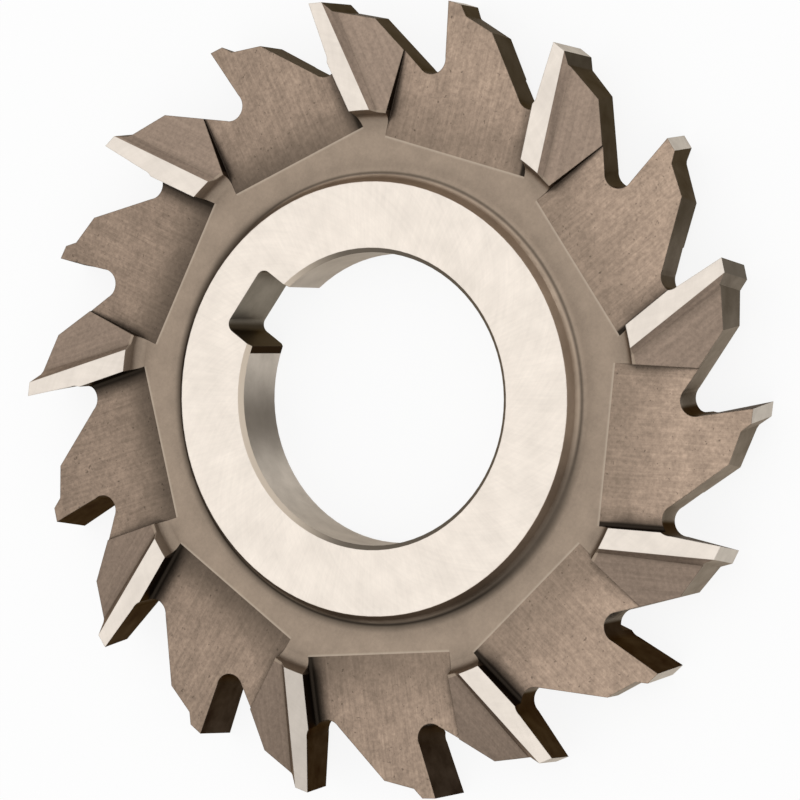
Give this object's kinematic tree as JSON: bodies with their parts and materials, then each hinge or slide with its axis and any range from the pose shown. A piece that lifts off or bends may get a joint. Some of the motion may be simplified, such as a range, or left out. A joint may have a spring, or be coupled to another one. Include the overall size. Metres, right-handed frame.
{
  "type": "staggered tooth side milling cutter",
  "caption": "Thin steel side and face milling cutter with alternate helical teeth, side gullets, recessed web, bored hub and keyway, mounted on a keyed arbor to mill slots.",
  "frame": {"origin": "on the bore's axis at mid-width", "axes": "+Z along the bore axis out of the front face, +Y through the middle of the keyway, +X to the right seen from the front"},
  "size_m": [0.0696, 0.0696, 0.0064],
  "materials": {
    "tool_steel": "warm grey heat-treated high speed steel, with bright ground hub faces, side lands and peripheral lands"
  },
  "bodies": {
    "root": {"milling_cutter": "tool_steel"}
  },
  "joints": []
}
